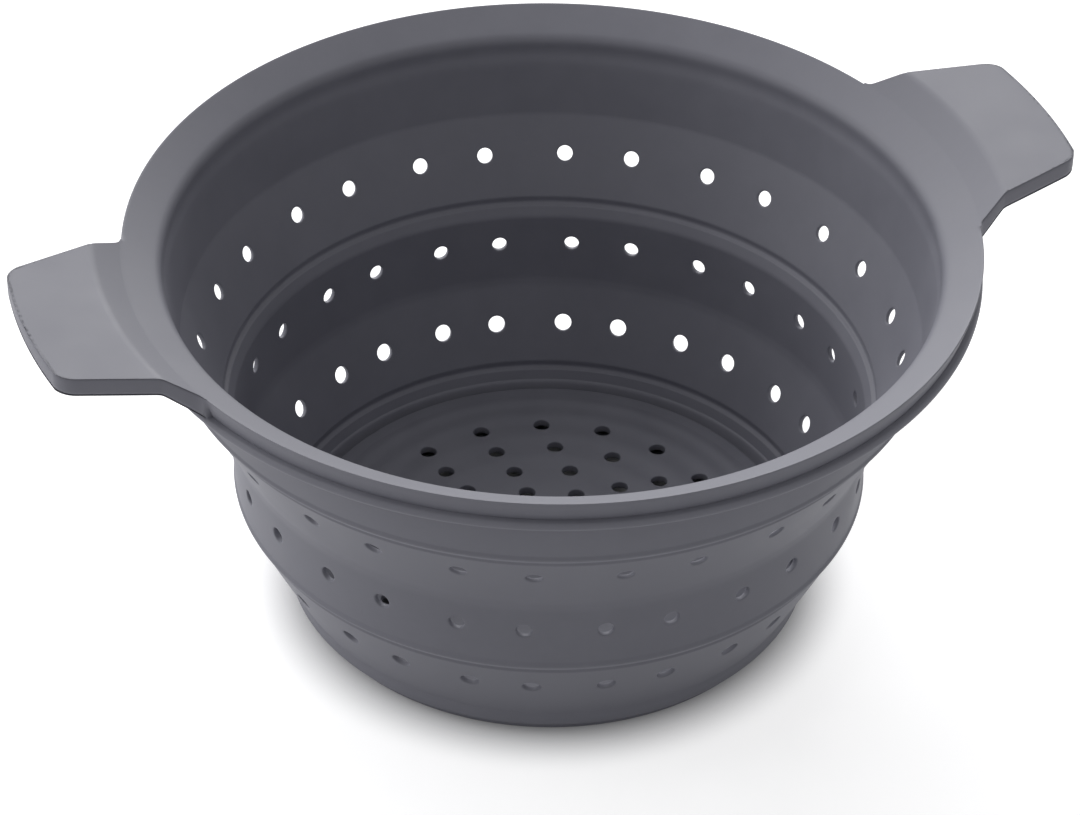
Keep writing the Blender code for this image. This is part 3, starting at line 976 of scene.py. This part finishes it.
class STEAMER_OT_floor(bpy.types.Operator):
    """Build the rippled floor with its rings of holes"""

    bl_idname = "steamer.floor"
    bl_label = "Floor"

    def execute(self, context):
        base = context.scene.steamer_base
        bm = bmesh.new()
        handover = bpy.data.meshes.new("floor_strip")
        plain_from = 0.0
        centres = []
        for ring, count, degrees, rows in FLOOR_RINGS:
            radius, phase = ring * base.ring_pitch, math.radians(degrees)
            strip = perforated_strip(base, radius, count, phase, rows)
            strip.to_mesh(handover)
            strip.free()
            bm.from_mesh(handover)
            for i in range(count):
                turn = phase + math.tau * i / count
                centres.append(Vector((radius * math.cos(turn), radius * math.sin(turn))))
            plain_to = radius - FLOOR_RING_HALF
            plain_rows = max(2, round((plain_to - plain_from) / FLOOR_ROW))
            polar_strip(bm, plain_from, plain_to, plain_rows, FLOOR_COLUMNS, 0)
            plain_from = radius + FLOOR_RING_HALF
        polar_strip(bm, plain_from, floor_edge(), FLOOR_EDGE_ROWS, FLOOR_COLUMNS, 0)
        bpy.data.meshes.remove(handover)
        bmesh.ops.remove_doubles(bm, verts=bm.verts, dist=WELD)
        bmesh.ops.recalc_face_normals(bm, faces=bm.faces)
        if bm.faces[0].normal.z < 0.0:
            bmesh.ops.reverse_faces(bm, faces=bm.faces)
        depth = base.floor_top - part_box("base_floor")[0].z
        thicken(bm, depth)
        round_hole_edges(bm, centres, base.hole_radius, FLOOR_EDGE_ROUND)
        for vert in bm.verts:
            share = vert.co.z / depth
            lift = ripple(base, math.hypot(*vert.co.xy)) - base.floor_top
            vert.co.z = base.floor_top - depth + vert.co.z + lift * share
        obj = new_piece("rippled_floor", bm, SILICONE_WALL)
        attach(obj, "base_body")
        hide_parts("base_floor")
        return {"FINISHED"}


def corner_top(wall, base, radius, edge):
    """Height of the corner's top side at a radius: floor edge, groove, then up to the wall's foot."""
    groove_radius, start = base.edge_groove[0], ripple(base, edge)
    rise = max(0.0, (radius - groove_radius) / (wall.fold_radii[4] - groove_radius))
    level = start + (wall.fold_heights[4] - start) * rise**2
    return level - groove(radius, *base.edge_groove)


def corner_outline(wall, base):
    """Closed outline of the bowl's lower corner, from the outside of its top edge downwards."""
    top, edge = seam("lower_inner_hinge", "base_corner"), floor_edge()
    start, underside, foot = base.corner_start, low("base_corner"), base.corner_foot
    wall_foot, fold = wall.fold_radii[4], wall.fold_heights[4]
    outline = [(outer_radius(wall, z), z) for z in row_heights(wall, top, start)]
    wide = outline[-1][0] - foot
    for i in range(1, CORNER_POINTS + 1):
        turn = math.pi / 2.0 * i / CORNER_POINTS
        height = start - (start - underside) * math.sin(turn)
        outline.append((foot + wide * math.cos(turn) + groove(height, *base.edge_bead), height))
    for i in range(1, UNDERSIDE_POINTS + 1):
        outline.append((foot + (edge - foot) * i / UNDERSIDE_POINTS, underside))
    for i in range(CORNER_TOP_POINTS + 1):
        radius = edge + (wall_foot - edge) * i / CORNER_TOP_POINTS
        outline.append((radius, corner_top(wall, base, radius, edge)))
    rows = reversed(row_heights(wall, top, fold))
    return outline + [(inner_radius(wall, z), z) for z in rows if z > fold + WELD]


class STEAMER_OT_base_corner(bpy.types.Operator):
    """Build the rounded lower corner of the bowl with the groove beside the floor"""

    bl_idname = "steamer.base_corner"
    bl_label = "Base Corner"

    def execute(self, context):
        outline = corner_outline(context.scene.steamer_wall, context.scene.steamer_base)
        obj = new_piece("bowl_corner", spun(outline), SILICONE_WALL)
        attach(obj, "base_body")
        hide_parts("base_corner")
        return {"FINISHED"}


class STEAMER_OT_foot(bpy.types.Operator):
    """Build the foot that the bowl stands on"""

    bl_idname = "steamer.foot"
    bl_label = "Foot"

    def execute(self, context):
        rounding = context.scene.steamer_base.foot_rounding
        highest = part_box("foot_ring")[1]
        outer, inner, top = highest.x + FOOT_FLARE, highest.x - FOOT_WIDTH, highest.z
        outline = [(outer, top), (outer, (top + rounding) / 2.0)]
        turns = [math.pi / 2.0 * i / FOOT_POINTS for i in range(FOOT_POINTS + 1)]
        for turn in turns:
            outline.append((
                outer - rounding * (1.0 - math.cos(turn)), rounding * (1.0 - math.sin(turn))
            ))
        for turn in turns:
            outline.append((
                inner + rounding * (1.0 - math.sin(turn)), rounding * (1.0 - math.cos(turn))
            ))
        outline += [(inner, (top + rounding) / 2.0), (inner, top)]
        obj = new_piece("foot", spun(outline), SILICONE_WALL)
        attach(obj, "base_body")
        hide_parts("foot_ring")
        return {"FINISHED"}


def area_light(name, power, place):
    """White softbox aimed at the bowl, placed to the photograph's own right, back and up."""
    turn = Matrix.Rotation(-PHOTO_TURN, 4, "Z")
    light = bpy.data.lights.new(name, "AREA")
    light.shape = "SQUARE"
    light.size = SOFTBOX_SIZE
    light.energy = power
    obj = add_object(name, light)
    obj.location = turn @ Vector(place)
    facing = Vector((0.0, 0.0, CAMERA_TARGET)) - obj.location
    obj.rotation_euler = facing.to_track_quat("-Z", "Y").to_euler()


def seen_directly(tree):
    """Output that is 1 for camera, glossy and transmission rays."""
    path = tree.nodes.new("ShaderNodeLightPath")
    seen = path.outputs["Is Camera Ray"]
    for name in ("Is Glossy Ray", "Is Transmission Ray"):
        either = tree.nodes.new("ShaderNodeMath")
        either.operation = "MAXIMUM"
        tree.links.new(seen, either.inputs[0])
        wire(tree, path, name, either, 1)
        seen = either.outputs["Value"]
    return seen


def studio_floor():
    """White floor, lifted to white by a glow that fades out near the axis, so round the foot it shows the
    object's real shadow together with a disc of painted shade.
    """
    bm = bmesh.new()
    bmesh.ops.create_grid(bm, x_segments=1, y_segments=1, size=FLOOR_HALF)
    mesh = bpy.data.meshes.new("studio_floor")
    bm.to_mesh(mesh)
    bm.free()
    material = bpy.data.materials.new("studio_white")
    material.use_nodes = True
    tree = material.node_tree
    tree.nodes.clear()
    output = tree.nodes.new("ShaderNodeOutputMaterial")
    bounce = add_node(tree, "ShaderNodeBsdfDiffuse", {"Color": FLOOR_BOUNCE})
    shown = add_node(tree, "ShaderNodeBsdfDiffuse", {"Color": FLOOR_SEEN})
    lift = add_node(tree, "ShaderNodeEmission", {"Color": WHITE})
    place, away = tree.nodes.new("ShaderNodeTexCoord"), tree.nodes.new("ShaderNodeVectorMath")
    away.operation = "LENGTH"
    # Glow rises from nothing at LIFT_START to FLOOR_LIFT at LIFT_END: the disc it leaves dark round the axis
    # is painted shade and stays fixed there.
    rise = add_node(
        tree, "ShaderNodeMapRange", {"From Min": LIFT_START, "From Max": LIFT_END, "To Max": FLOOR_LIFT}
    )
    rise.interpolation_type = "SMOOTHSTEP"
    wire(tree, place, "Object", away, 0)
    wire(tree, away, "Value", rise, "Value")
    wire(tree, rise, "Result", lift, "Strength")
    total, choose = tree.nodes.new("ShaderNodeAddShader"), tree.nodes.new("ShaderNodeMixShader")
    wire(tree, shown, "BSDF", total, 0)
    wire(tree, lift, "Emission", total, 1)
    tree.links.new(seen_directly(tree), choose.inputs["Fac"])
    wire(tree, bounce, "BSDF", choose, 1)
    wire(tree, total, "Shader", choose, 2)
    wire(tree, choose, "Shader", output, "Surface")
    mesh.materials.append(material)
    return add_object("studio_floor", mesh)


def studio_world(surroundings):
    """White background that lights the object less than it shows."""
    world = bpy.data.worlds.new("studio_world")
    world.use_nodes = True
    tree = world.node_tree
    background = tree.nodes["Background"]
    background.inputs["Color"].default_value = WHITE
    strength = add_node(tree, "ShaderNodeMix", {"A": surroundings, "B": 1.0})
    tree.links.new(seen_directly(tree), strength.inputs["Factor"])
    wire(tree, strength, "Result", background, "Strength")
    return world


def photo_camera(focal_length):
    """Camera at the photograph's own place."""
    lens = bpy.data.cameras.new("photo_camera")
    lens.lens = focal_length
    lens.sensor_width = 36.0
    camera = add_object("photo_camera", lens)
    turn = Matrix.Rotation(-PHOTO_TURN, 4, "Z")
    aim = Matrix.Rotation(math.pi / 2.0 - CAMERA_DIP, 4, "X") @ Matrix.Rotation(CAMERA_ROLL, 4, "Z")
    right, down, ahead = CAMERA_OFFSET
    back = aim.to_3x3() @ Vector((-right, down, ahead))
    camera.matrix_world = turn @ Matrix.Translation(back) @ aim
    camera.location.z += CAMERA_TARGET
    return camera


class STEAMER_OT_stage(bpy.types.Operator):
    """Set the pale floor, the soft studio light and the camera"""

    bl_idname = "steamer.stage"
    bl_label = "Stage"

    def execute(self, context):
        scene, look = context.scene, context.scene.steamer_stage
        studio_floor()
        scene.world = studio_world(look.surroundings)
        area_light("back_light", look.back_power, (0.0, 1.5, 0.8))
        area_light("corner_light", look.corner_power, (-0.85, 0.85, 1.1))
        area_light("side_light", look.side_power, (-1.5, 0.2, 0.75))
        scene.camera = photo_camera(look.focal_length)
        scene.view_settings.view_transform = "Standard"
        return {"FINISHED"}


class STEAMER_PT_panel(bpy.types.Panel):
    """Buttons that build the steamer insert piece by piece"""

    bl_idname = "STEAMER_PT_panel"
    bl_label = "Steamer Insert"
    bl_space_type = "VIEW_3D"
    bl_region_type = "UI"
    bl_category = "Steamer"

    def draw(self, context):
        for operator in OPERATORS:
            self.layout.operator(operator.bl_idname)
        for name in SETTINGS:
            box = self.layout.box()
            settings = getattr(context.scene, name)
            for prop in settings.bl_rna.properties:
                if not prop.is_readonly and prop.identifier != "name":
                    box.prop(settings, prop.identifier)


SETTINGS = {
    "steamer_wall": WallSizes,
    "steamer_holes": HoleSizes,
    "steamer_rim": RimSizes,
    "steamer_base": BaseSizes,
    "steamer_silicone": SiliconeLook,
    "steamer_stage": StageLook,
}
OPERATORS = (
    STEAMER_OT_stage,
    STEAMER_OT_rim_with_grips,
    STEAMER_OT_plain_rings,
    STEAMER_OT_folding_cones,
    STEAMER_OT_middle_band,
    STEAMER_OT_base_corner,
    STEAMER_OT_floor,
    STEAMER_OT_foot,
)


def register():
    for cls in (*SETTINGS.values(), *OPERATORS, STEAMER_PT_panel):
        bpy.utils.register_class(cls)
    for name, cls in SETTINGS.items():
        setattr(bpy.types.Scene, name, PointerProperty(type=cls))


def unregister():
    for name in SETTINGS:
        delattr(bpy.types.Scene, name)
    for cls in (STEAMER_PT_panel, *reversed(OPERATORS), *reversed(list(SETTINGS.values()))):
        bpy.utils.unregister_class(cls)


def main():
    register()
    steamer = bpy.ops.steamer
    steamer.stage()
    steamer.rim_with_grips()
    steamer.plain_rings()
    steamer.folding_cones()
    steamer.middle_band()
    steamer.base_corner()
    steamer.floor()
    steamer.foot()


if __name__ == "__main__":
    main()
